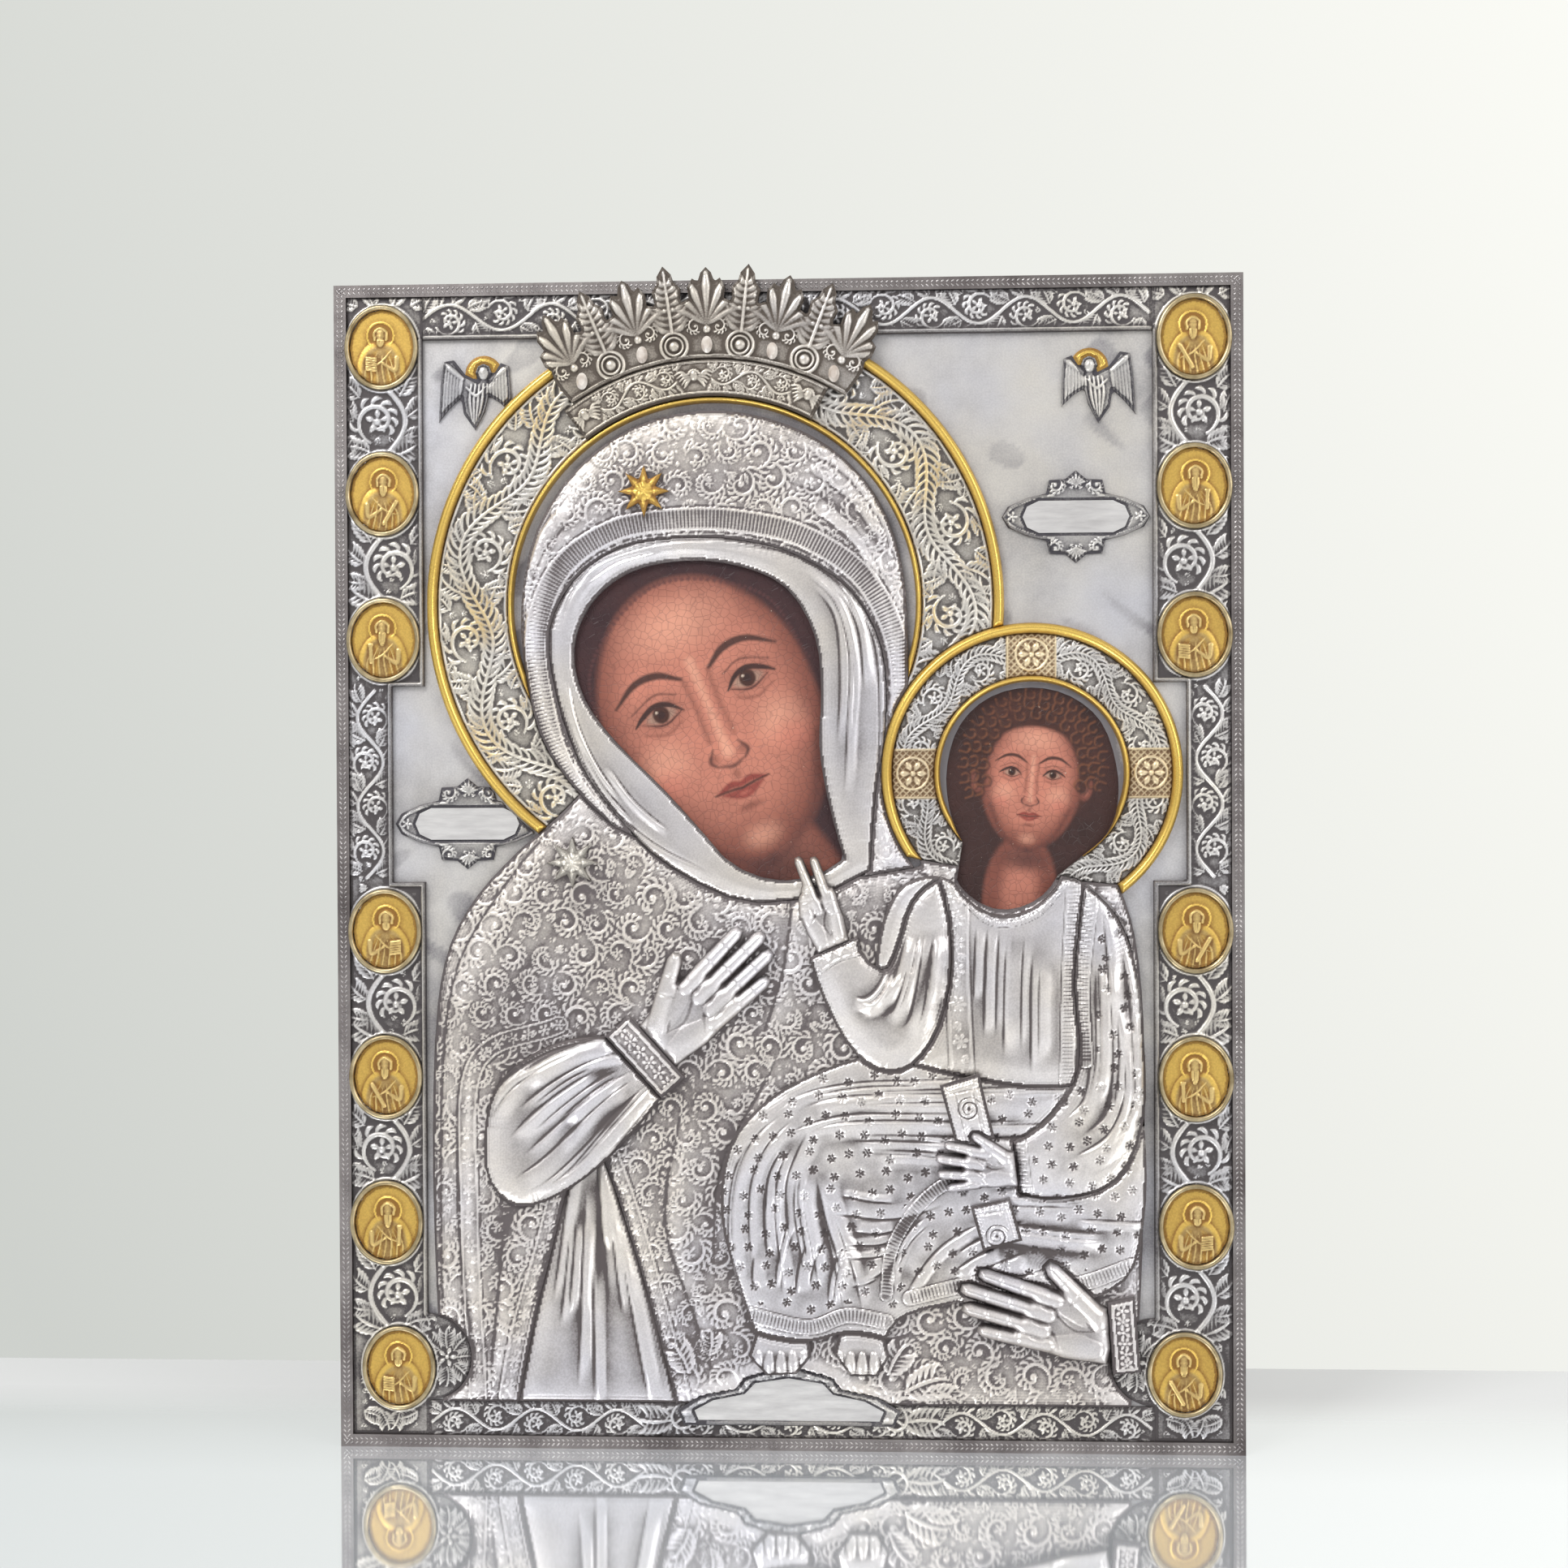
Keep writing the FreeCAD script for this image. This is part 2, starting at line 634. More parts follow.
def finger_points(base, tip, base_half, tip_half):
    """The outline of one tapered finger, square at the base and blunt at the tip."""
    start = V(base[0], 0, base[1])
    end = V(tip[0], 0, tip[1])
    along = (end - start).normalize()
    across = V(-along.z, 0, along.x)
    knuckle = end - along * tip_half
    right = [start - across * base_half, knuckle - across * tip_half, end - across * tip_half / 2]
    left = [end + across * tip_half / 2, knuckle + across * tip_half, start + across * base_half]
    return [(spot.x, spot.z) for spot in right + left]


def hand_parts(fingers, wrist, turn, thumb_side, length):
    """The outlines of a hand's palm and fingers, placed and turned on the panel."""
    along = V(math.cos(turn), 0, math.sin(turn))
    across = V(-along.z, 0, along.x) * thumb_side
    parts = []
    for shares in [PALM_SHARES, *[finger_points(*finger) for finger in fingers]]:
        spots = [V(wrist[0], 0, wrist[1]) + (along * p[0] + across * p[1]) * length for p in shares]
        parts.append(straight_sided([(spot.x, spot.z) for spot in spots]))
    return parts


HANDS = {
    "mother_right_hand": (OPEN_HAND_SHARES, on_panel([(-0.143, 0.347)])[0], 42, 1, "hand_length"),
    "mother_left_hand": (OPEN_HAND_SHARES, from_child([(0.5, -3.74)])[0], 166, -1, "hand_length"),
    "child_right_hand": (
        BLESSING_HAND_SHARES, from_child([(-1.32, -1.15)])[0], 112, -1, "child_hand_length",
    ),
    "child_left_hand": (
        HOLDING_HAND_SHARES, from_child([(-0.12, -2.61)])[0], 178, -1, "child_hand_length",
    ),
}


def hand_outlines(node):
    """The outlines of one of the four hands."""
    fingers, wrist, degrees, thumb_side, length = HANDS[node]
    return hand_parts(fingers, wrist, math.radians(degrees), thumb_side, size(length))


# Cutters that run right through the front sheets

overrun = size("board_thickness")
hood_cutter = add_shape("hood_cutter", prism(from_mother(HOOD_SHARES), field_front, overrun))
face_cutter = add_shape(
    "face_cutter", prism(from_mother(FACE_SHARES), ground_front, overrun)
)
child_cutter = add_shape(
    "child_cutter",
    prism(from_child(CHILD_OPENING_SHARES), ground_front, overrun),
)
cap_cutter = add_shape("cap_cutter", prism(from_mother(CAP_SHARES), field_front, overrun))
tunic_cutter = add_shape("tunic_cutter", prism(from_child(TUNIC_SHARES), field_front, overrun))
mantle_cutter = add_shape("mantle_cutter", prism(on_panel(MANTLE_SHARES), field_front, overrun))
mother_disc = disc(
    "mother_disc", "Sizes.mother_halo_x", "Sizes.mother_halo_z",
    f"{MOTHER_RADIUS} + Sizes.halo_gap / 2", FIELD_FRONT, "Sizes.board_thickness",
)
child_disc = disc(
    "child_disc", "Sizes.child_halo_x", "Sizes.child_halo_z",
    CHILD_RADIUS, FIELD_FRONT, "Sizes.board_thickness",
)

# Field: the smooth silver sheet behind everything, open over the two painted faces

field = doc.addObject("Part::Box", "field_blank")
field.setExpression("Length", f"2 * {BOARD_HALF}")
field.setExpression("Width", "Sizes.field_sheet")
field.setExpression("Height", "Sizes.panel_height - 2 * Sizes.edge_sheet")
place(field, f"-{BOARD_HALF}", f"-{FIELD_FRONT}", BOARD_FOOT)
keep("field_plate", cut("field", field, face_cutter, child_cutter))

# Edging: four mitred strips that fold over the front and cover the sides of the board

EDGES = {
    "edge_bottom": ("Sizes.panel_width", 0, "0", "0"),
    "edge_right": ("Sizes.panel_height", -90, "Sizes.panel_width / 2", "Sizes.panel_height / 2"),
    "edge_top": ("Sizes.panel_width", 180, "0", "Sizes.panel_height"),
    "edge_left": ("Sizes.panel_height", 90, "-Sizes.panel_width / 2", "Sizes.panel_height / 2"),
}


def mitred(length, width):
    """The corners of a strip of that length whose ends are cut at 45 degrees."""
    return [
        (f"-{length} / 2", "0"),
        (f"{length} / 2", "0"),
        (f"{length} / 2 - {width}", width),
        (f"-{length} / 2 + {width}", width),
    ]


for node, (length, angle, x, z) in EDGES.items():
    edge = new_body(node)
    wall = new_sketch(edge, f"{node}_wall", "XZ_Plane", f"-{BOARD_FACE}")
    draw_polygon(wall, mitred(length, "Sizes.edge_sheet"))
    pad(edge, wall, f"{FIELD_FRONT} + {BOARD_FACE}")
    lip = new_sketch(edge, f"{node}_lip", "XZ_Plane", FIELD_FRONT)
    draw_polygon(lip, mitred(length, "Sizes.edge_lip_width"))
    pad(edge, lip, "Sizes.edge_lip_height")
    edge.Placement.Rotation = FreeCAD.Rotation(V(0, 1, 0), angle)
    place(edge, x, "0", z)
    keep(node, edge)

# Borders: four embossed strips with a raised bead along the field, narrow beside the child's halo

SIDE_OUT = "(Sizes.panel_width / 2 - Sizes.edge_lip_width)"
SIDE_IN = "(Sizes.panel_width / 2 - Sizes.side_border_width)"
WAIST_IN = "(Sizes.panel_width / 2 - Sizes.waist_border_width)"
FOOT_OUT = "Sizes.edge_lip_width"
HEAD_OUT = "(Sizes.panel_height - Sizes.edge_lip_width)"
WAIST_FOOT = "(Sizes.child_halo_z - Sizes.waist_drop)"
WAIST_HEAD = "(Sizes.child_halo_z + Sizes.waist_rise)"
FOOT_IN = "Sizes.bottom_border_width"
HEAD_IN = "(Sizes.panel_height - Sizes.top_border_width)"


def side_line(side, margin):
    """The inner line of a side border, from the top down, moved in by an expression."""
    wide = f"{side} * ({SIDE_IN} + {margin})"
    narrow = f"{side} * ({WAIST_IN} + {margin})"
    head = f"{WAIST_HEAD} + {margin}"
    foot = f"{WAIST_FOOT} - {margin}"
    return [(wide, head), (narrow, head), (narrow, foot), (wide, foot)]


for side, node in ((-1, "border_left"), (1, "border_right")):
    border = new_body(f"{node}_body")
    strip = new_sketch(border, f"{node}_strip", "XZ_Plane", FIELD_FRONT)
    outer = [(f"{side} * {SIDE_OUT}", FOOT_OUT), (f"{side} * {SIDE_OUT}", HEAD_OUT)]
    top_in = (f"{side} * {SIDE_IN}", HEAD_OUT)
    foot_in = (f"{side} * {SIDE_IN}", FOOT_OUT)
    draw_polygon(strip, [*outer, top_in, *side_line(side, "0"), foot_in])
    pad(border, strip, "Sizes.border_sheet")
    bead = new_sketch(border, f"{node}_bead", "XZ_Plane", FIELD_FRONT)
    bead_top = (f"{side} * {SIDE_IN}", HEAD_IN)
    bead_foot = (f"{side} * {SIDE_IN}", f"{FOOT_IN} + 2 * Sizes.corner_swell_radius")
    inner_foot = (f"{side} * ({SIDE_IN} + Sizes.bead_width)", bead_foot[1])
    inner_top = (f"{side} * ({SIDE_IN} + Sizes.bead_width)", HEAD_IN)
    inner_line = side_line(side, "Sizes.bead_width")[::-1]
    draw_polygon(bead, [bead_top, *side_line(side, "0"), bead_foot, inner_foot, *inner_line, inner_top])
    pad(border, bead, "Sizes.bead_height")
    swell = new_sketch(border, f"{node}_swell", "XZ_Plane", FIELD_FRONT)
    swell_z = f"{FOOT_IN} + Sizes.corner_swell_radius"
    draw_circle(swell, f"{side} * {SIDE_IN}", swell_z, "Sizes.corner_swell_radius")
    pad(border, swell, "Sizes.border_sheet")
    keep(node, cut(node, border, mother_disc, child_disc))

for node, near, far, line in (
    ("border_top", HEAD_OUT, HEAD_IN, f"({HEAD_IN} + Sizes.bead_width)"),
    ("border_bottom", FOOT_OUT, FOOT_IN, f"({FOOT_IN} - Sizes.bead_width)"),
):
    border = new_body(f"{node}_body")
    strip = new_sketch(border, f"{node}_strip", "XZ_Plane", FIELD_FRONT)
    draw_polygon(strip, [(f"-{SIDE_IN}", near), (SIDE_IN, near), (SIDE_IN, far), (f"-{SIDE_IN}", far)])
    pad(border, strip, "Sizes.border_sheet")
    if node == "border_top":
        bead = new_sketch(border, f"{node}_bead", "XZ_Plane", FIELD_FRONT)
        draw_polygon(bead, [(f"-{SIDE_IN}", line), (SIDE_IN, line), (SIDE_IN, far), (f"-{SIDE_IN}", far)])
        pad(border, bead, "Sizes.bead_height")
        keep(node, cut(node, border, mother_disc))
    else:
        swells = [kept["border_left"], kept["border_right"]]
        keep(node, cut(node, border, *swells))

# Medallions: struck ovals held in raised collets on the side borders


def medallion_places(side):
    """The centres of one side's seven medallions, from the top down."""
    column = half_width - size("medallion_from_side")
    pitch = size("medallion_pitch")
    upper = [height - size("medallion_from_top") - pitch * k for k in range(3)]
    lower = [size("lower_medallion_rise") - pitch * k for k in range(4)]
    corner = column - size("corner_medallion_shift")
    return [(side * column, z) for z in upper + lower[:3]] + [(side * corner, lower[3])]


OVAL_SIDES = 16


def oval_points(x, z, across, up):
    """The corners of a many-sided oval."""
    turns = [2 * math.pi * k / OVAL_SIDES for k in range(OVAL_SIDES)]
    return straight_sided([(x + across * math.cos(t), z + up * math.sin(t)) for t in turns])


for side, name in ((-1, "left"), (1, "right")):
    struck = []
    collets = []
    for x, z in medallion_places(side):
        across = size("medallion_half_width")
        up = size("medallion_half_height")
        wall = size("collet_width")
        coin = oval_points(x, z, across, up)
        collar = oval_points(x, z, across + wall, up + wall)
        struck.append(prism(coin, border_front, size("medallion_thickness")))
        opening = prism(coin, border_front, size("collet_height"))
        collets.append(prism(collar, border_front, size("collet_height")).cut(opening))
    keep(f"medallions_{name}", add_shape(f"medallions_{name}", Part.Compound(struck)))
    keep(f"medallion_collets_{name}", add_shape(f"medallion_collets_{name}", Part.Compound(collets)))

# Haloes: an embossed ring between two gilt rims, broken where the shoulders come in front


def ring(name, x, z, outer, inner, back, thickness):
    """A flat ring facing the viewer, as bound cylinders."""
    whole = disc(f"{name}_disc", x, z, outer, back, thickness)
    hole = disc(f"{name}_hole", x, z, inner, back, thickness)
    return cut(f"{name}_ring", whole, hole)


def rim(name, x, z, inner, width):
    """A gilt rim turned from a roof-shaped section."""
    body = new_body(f"{name}_body")
    section = new_sketch(body, f"{name}_section", "XY_Plane")
    draw_polygon(
        section,
        [
            (inner, "0"),
            (f"{inner} + {width}", "0"),
            (f"{inner} + {1 - RIM_SLOPE_SHARE} * {width}", "-Sizes.rim_height"),
            (f"{inner} + {RIM_SLOPE_SHARE} * {width}", "-Sizes.rim_height"),
        ],
    )
    turned = body.newObject("PartDesign::Revolution", f"{name}_turned")
    turned.Profile = section
    turned.ReferenceAxis = (section, ["V_Axis"])
    turned.Angle = 360
    place(body, x, f"-{FIELD_FRONT}", z)
    return body


HALOES = {
    "mother": (MOTHER_RADIUS, MOTHER_HOLE, [hood_cutter, cap_cutter, mantle_cutter, child_disc]),
    "child": (CHILD_RADIUS, CHILD_HOLE, [mantle_cutter, tunic_cutter, child_cutter]),
}

for who, (outer, inner, tools) in HALOES.items():
    x = f"Sizes.{who}_halo_x"
    z = f"Sizes.{who}_halo_z"
    ring_outer = f"({outer} - Sizes.outer_rim_width)"
    ring_inner = f"({inner} + Sizes.inner_rim_width)"
    node = f"{who}_halo"
    plain = ring(node, x, z, ring_outer, ring_inner, FIELD_FRONT, "Sizes.halo_sheet")
    outer_rim = rim(f"{node}_outer_rim", x, z, ring_outer, "Sizes.outer_rim_width")
    inner_rim = rim(f"{node}_inner_rim", x, z, inner, "Sizes.inner_rim_width")
    keep(node, cut(node, plain, *tools))
    keep(f"{node}_outer_rim", cut(f"{node}_outer", outer_rim, *tools))
    keep(f"{node}_inner_rim", cut(f"{node}_inner", inner_rim, *tools))

# Crown: a band on the halo and a pierced cresting of palmettes and feather leaves over its rim

PALMETTE_SHARES = [
    (0.0, 0.0), (1.25, 0.0), (1.42, 0.16), (1.52, 0.32), (1.36, 0.42), (1.6, 0.5), (1.56, 0.62),
    (1.12, 0.66), (1.22, 0.78), (0.9, 0.88), (0.54, 0.84), (0.34, 0.94), (0.0, 1.0),
]
FEATHER_SHARES = [
    (0.0, 0.0), (1.2, 0.0), (1.14, 0.3), (0.94, 0.4), (1.08, 0.54), (0.84, 0.66), (0.94, 0.78),
    (0.56, 0.86), (0.46, 0.95), (0.0, 1.05),
]
CROWN_BASE = f"({MOTHER_HOLE} + Sizes.inner_rim_width + Sizes.crown_band_width)"
CROWN_LEAF = f"(Sizes.crown_reach - {CROWN_BASE})"
LEAF_HALF = f"({CROWN_BASE} * tan({CROWN_PITCH} / 4 * 1 deg))"


def leaf_corners(shares):
    """The mirrored outline of one leaf tile on the cresting's own centre line."""
    right = [(f"{a} * {LEAF_HALF}", f"{CROWN_BASE} + {b} * {CROWN_LEAF}") for a, b in shares[1:]]
    left = [(f"-{a} * {LEAF_HALF}", f"{CROWN_BASE} + {b} * {CROWN_LEAF}") for a, b in shares[-2:0:-1]]
    return right + left


PALMETTE_COUNT = 5
cresting = new_body("crown_cresting")
CROWN_BACK = f"({FIELD_FRONT} + Sizes.rim_height + Sizes.crown_clearance)"
for name, shares, count in (
    ("palmette", PALMETTE_SHARES, PALMETTE_COUNT), ("feather", FEATHER_SHARES, PALMETTE_COUNT - 1),
):
    tile = new_sketch(cresting, name, "XZ_Plane", CROWN_BACK)
    draw_polygon(tile, leaf_corners(shares))
    tile_pad = pad(cresting, tile, "Sizes.crown_sheet")
    tile.AttachmentOffset.Rotation = FreeCAD.Rotation(V(0, 0, 1), (count - 1) / 2 * CROWN_PITCH)
    doc.recompute()
    pattern = cresting.newObject("PartDesign::PolarPattern", f"{name}_pattern")
    pattern.Originals = [tile_pad]
    axis = next(f for f in cresting.Origin.OriginFeatures if f.Role == "Y_Axis")
    pattern.Axis = (axis, [""])
    pattern.Angle = (count - 1) * CROWN_PITCH
    pattern.Occurrences = count
    cresting.Tip = pattern
    doc.recompute()
cresting.Placement.Rotation = FreeCAD.Rotation(V(0, 1, 0), CRESTING_TILT)
place(cresting, "Sizes.mother_halo_x", "0", "Sizes.mother_halo_z")
keep("crown_cresting", cresting)

leaf_count = 2 * PALMETTE_COUNT - 1
band_half_angle = CROWN_PITCH * leaf_count / 4
band = ring("crown_band", "0", "0", CROWN_BASE, f"({MOTHER_HOLE} + Sizes.inner_rim_width)",
            HALO_FRONT, "Sizes.rim_height - Sizes.halo_sheet + Sizes.crown_sheet")
for cylinder in (band.Base, band.Tool):
    cylinder.Angle = 2 * band_half_angle
    face_on = FreeCAD.Rotation(V(1, 0, 0), 90)
    start = FreeCAD.Rotation(V(0, 0, 1), 90 - BAND_TILT - band_half_angle)
    cylinder.Placement.Rotation = face_on.multiply(start)
    place(cylinder, "Sizes.mother_halo_x", f"-{HALO_FRONT}", "Sizes.mother_halo_z")
keep("crown_band", band)


def cut_stone(x, z, back):
    """An oval stone with a flat back, a girdle and a table."""
    across = size("stone_half_width")
    up = size("stone_half_height")
    rise = size("stone_height")
    rings = []
    for spread, lift in ((1, 0), (1, STONE_GIRDLE_SHARE), (STONE_TABLE_SHARE, 1)):
        outline = smooth_outline(oval_points(x, z, across * spread, up * spread))
        rings.append(ring_at(outline, back + rise * lift))
    return solid_between(rings)


stones = []
crown_base = mother_hole + size("inner_rim_width") + size("crown_band_width")
stone_radius = crown_base + STONE_RISE_SHARE * mother_hole
for k in range(PALMETTE_COUNT):
    angle = math.radians(CRESTING_TILT + (k - (PALMETTE_COUNT - 1) / 2) * CROWN_PITCH)
    x = mother_x + stone_radius * math.sin(angle)
    z = mother_z + stone_radius * math.cos(angle)
    stones.append(cut_stone(x, z, crown_back + size("crown_sheet")))
keep("crown_stones", add_shape("crown_stones", Part.Compound(stones)))

# Clothes of the mother: hood, inner cap, mantle and dress lie on the field

bevel = size("sheet_bevel")
hood = bevelled(from_mother(HOOD_SHARES), field_front, size("hood_height"), bevel)
cap = bevelled(from_mother(CAP_SHARES), field_front, size("cap_height"), bevel)
hood = hood.cut(cap_cutter.Shape).cut(child_disc.Shape)
keep("mother_hood", add_shape("mother_hood", hood))
keep("mother_cap", add_shape("mother_cap", cap.cut(face_cutter.Shape)))

TITLE_SHARES = [
    (-1.0, -0.7), (1.0, -0.7), (1.06, -0.3), (0.84, 0.1), (0.5, 0.3), (0.42, 0.62), (0.16, 0.84),
    (0.0, 1.0), (-0.16, 0.84), (-0.42, 0.62), (-0.5, 0.3), (-0.84, 0.1), (-1.06, -0.3),
]


def from_title(shares):
    """A straight-sided outline placed from the centre of the lower cartouche."""
    across = size("title_half_width")
    up = size("title_half_height")
    return straight_sided([(across * p[0], size("title_rise") + up * p[1]) for p in shares])


title_frame_prism = prism(from_title(TITLE_SHARES), border_front, overrun)
doc.recompute()
borders_shape = [kept[n].Shape for n in ("border_left", "border_right", "border_bottom")]
mantle_shape = bevelled(on_panel(MANTLE_SHARES), field_front, size("mantle_height"), bevel)
fold_rise = size("mantle_fold_rise")
fold_ridges = [
    bevelled(fold_points(on_panel(line)), mantle_front - fold_rise, 2 * fold_rise, fold_rise)
    for line in MANTLE_FOLD_SHARES
]
mantle_shape = mantle_shape.multiFuse(fold_ridges)
dress_plate = prism(on_panel(DRESS_SHARES), field_front, size("dress_height"))
dress_prism = prism(on_panel(DRESS_SHARES), field_front, overrun)
head_tools = [hood_cutter.Shape, cap_cutter.Shape, face_cutter.Shape, child_cutter.Shape]
for tool in [*head_tools, dress_prism, title_frame_prism, *borders_shape]:
    mantle_shape = mantle_shape.cut(tool)
keep("mother_mantle", add_shape("mother_mantle", mantle_shape))
keep("mother_dress", add_shape("mother_dress", dress_plate.cut(title_frame_prism).cut(borders_shape[2])))

# Arms, hands and the child's clothes stand on the mantle


def raised(node, points, back, thickness, taken_out=()):
    """A bevelled plate on the mantle or on the robe, less what stands inside its outline."""
    shape = bevelled(points, back, thickness, bevel)
    for tool in taken_out:
        shape = shape.cut(tool)
    return keep(node, add_shape(node, shape))


def fused(outlines, back, thickness, edge_bevel=0):
    """One solid from several overlapping outlines, each bevelled by itself."""
    if edge_bevel:
        solids = [bevelled(points, back, thickness, edge_bevel) for points in outlines]
    else:
        solids = [prism(points, back, thickness) for points in outlines]
    return solids[0].multiFuse(solids[1:]).removeSplitter()


limb = size("limb_height")
hand = size("hand_height")
robe = size("robe_height")
hand_bevel = size("hand_bevel")
right_sleeve_prism = prism(from_child(RIGHT_SLEEVE_SHARES), mantle_front, overrun)
left_sleeve_prism = prism(from_child(LEFT_SLEEVE_SHARES), mantle_front, overrun)
himation_prism = prism(from_child(HIMATION_SHARES), mantle_front, overrun)
cuff_prism = prism(from_child(MOTHER_LEFT_CUFF_SHARES), mantle_front, overrun)
mother_cuff_prism = prism(on_panel(MOTHER_CUFF_SHARES), mantle_front, overrun)
held_prism = fused(hand_outlines("mother_left_hand"), mantle_front, overrun)
raised("mother_sleeve", on_panel(MOTHER_SLEEVE_SHARES), mantle_front, limb, [mother_cuff_prism])
raised("mother_cuff", on_panel(MOTHER_CUFF_SHARES), mantle_front, limb)
raised(
    "child_tunic", from_child(TUNIC_SHARES), mantle_front, limb,
    [child_cutter.Shape, himation_prism, right_sleeve_prism, left_sleeve_prism],
)
raised(
    "child_himation", from_child(HIMATION_SHARES), mantle_front, robe,
    [right_sleeve_prism, left_sleeve_prism, held_prism, cuff_prism],
)
raised("child_right_sleeve", from_child(RIGHT_SLEEVE_SHARES), mantle_front, robe, [child_cutter.Shape])
raised("child_left_sleeve", from_child(LEFT_SLEEVE_SHARES), mantle_front, robe, [child_cutter.Shape])
raised("mother_left_cuff", from_child(MOTHER_LEFT_CUFF_SHARES), mantle_front, limb)
HAND_SEATS = {
    "mother_right_hand": (mantle_front, hand, [mother_cuff_prism]),
    "mother_left_hand": (mantle_front, robe, [cuff_prism]),
    "child_right_hand": (mantle_front, hand, [right_sleeve_prism]),
    "child_left_hand": (robe_front, hand, [left_sleeve_prism]),
}
for node, (back, thickness, tools) in HAND_SEATS.items():
    shape = fused(hand_outlines(node), back, thickness, hand_bevel)
    for tool in tools:
        shape = shape.cut(tool)
    keep(node, add_shape(node, shape))
grip_prism = fused(hand_outlines("child_left_hand"), robe_front, overrun)
scroll_parts = [
    bevelled(from_child(shares), robe_front, hand, bevel).cut(grip_prism)
    for shares in (SCROLL_SHARES, SCROLL_FOOT_SHARES)
]
keep("scroll", add_shape("scroll", Part.Compound(scroll_parts)))
feet = [
    bevelled(straight_sided(from_child(shares)), mantle_front, hand, bevel).cut(himation_prism)
    for shares in FOOT_SHARES
]
keep("child_feet", add_shape("child_feet", Part.Compound(feet)))

# Stars: eight-rayed pyramids riveted to the hood and to the shoulder


def star(x, z, back):
    """A star of rays that rise to one point."""
    outer = size("star_radius")
    corner_count = 2 * STAR_RAYS
    ring_points = []
    for k in range(corner_count):
        reach = outer if k % 2 == 0 else outer * STAR_WAIST_SHARE
        angle = math.pi * k / STAR_RAYS
        ring_points.append(V(x + reach * math.sin(angle), -back, z + reach * math.cos(angle)))
    apex = V(x, -back - size("star_height"), z)
    faces = [Part.Face(Part.makePolygon([*ring_points, ring_points[0]]))]
    for k in range(corner_count):
        corner = ring_points[k]
        following = ring_points[(k + 1) % corner_count]
        faces.append(Part.Face(Part.makePolygon([corner, following, apex, corner])))
    return Part.Solid(Part.Shell(faces))


brow_star_shares = (-0.34, 0.56)
shoulder_star_shares = (-0.236, 0.504)
brow_x = mother_x + mother_hole * brow_star_shares[0]
brow_z = mother_z + mother_hole * brow_star_shares[1]
shoulder_x = 2 * half_width * shoulder_star_shares[0]
shoulder_z = height * shoulder_star_shares[1]
keep("star_brow", add_shape("star_brow", star(brow_x, brow_z, field_front + size("hood_height"))))
keep("star_shoulder", add_shape("star_shoulder", star(shoulder_x, shoulder_z, mantle_front)))

# Angels: winged busts in the upper corners, each with a gilt halo behind the head

ANGEL_SHARES = [
    (0.06, 0.12), (0.03, 0.22), (0.06, 0.3), (0.13, 0.33), (0.2, 0.3), (0.23, 0.22), (0.2, 0.12),
    (0.24, 0.18), (0.34, 0.34), (0.44, 0.3), (0.46, 0.06), (0.47, -0.28), (0.32, -0.14), (0.19, -0.06),
    (0.14, -0.26), (0.02, -0.48), (-0.12, -0.28), (-0.15, -0.08), (-0.3, -0.22), (-0.43, -0.38),
    (-0.4, 0.1), (-0.36, 0.36), (-0.24, 0.38), (-0.1, 0.2),
]
ANGEL_HALO_SHARES = (0.13, 0.2)
ANGEL_HALO_RADIUS_SHARE = 0.23
span = size("angel_span")
angel_halves = []
for side, node in ((-1, "angel_left"), (1, "angel_right")):
    x = side * (field_half_width - size("angel_from_corner"))
    z = height - size("top_border_width") - size("angel_from_corner")
    points = straight_sided([(x - side * span * p[0], z + span * p[1]) for p in ANGEL_SHARES])
    figure = bevelled(points, field_front, size("angel_height"), bevel / 2)
    keep(node, add_shape(node, figure.cut(mother_disc.Shape)))
    nimbus = Part.makeCylinder(
        span * ANGEL_HALO_RADIUS_SHARE, size("angel_height") / 2,
        V(x - side * span * ANGEL_HALO_SHARES[0], -field_front, z + span * ANGEL_HALO_SHARES[1]),
        V(0, -1, 0),
    )
    angel_halves.append(nimbus.cut(prism(points, field_front, overrun)).cut(mother_disc.Shape))
keep("angel_haloes", add_shape("angel_haloes", Part.Compound(angel_halves)))

# Cartouches: scrolled frames around plain oval plates on the field, and a larger one at the foot

CARTOUCHE_SHARES = [
    (1.0, 0.0), (0.92, 0.22), (0.66, 0.4), (0.4, 0.5), (0.36, 0.78), (0.14, 0.8), (0.0, 0.98),
    (-0.14, 0.8), (-0.36, 0.78), (-0.4, 0.5), (-0.66, 0.4), (-0.92, 0.22), (-1.0, 0.0),
    (-0.92, -0.22), (-0.66, -0.4), (-0.4, -0.5), (-0.36, -0.78), (-0.14, -0.8), (0.0, -0.98),
    (0.14, -0.8), (0.36, -0.78), (0.4, -0.5), (0.66, -0.4), (0.92, -0.22),
]
PLATE_SHARES = [
    (0.72, 0.0), (0.66, 0.22), (0.5, 0.34), (-0.5, 0.34), (-0.66, 0.22), (-0.72, 0.0),
    (-0.66, -0.22), (-0.5, -0.34), (0.5, -0.34), (0.66, -0.22),
]

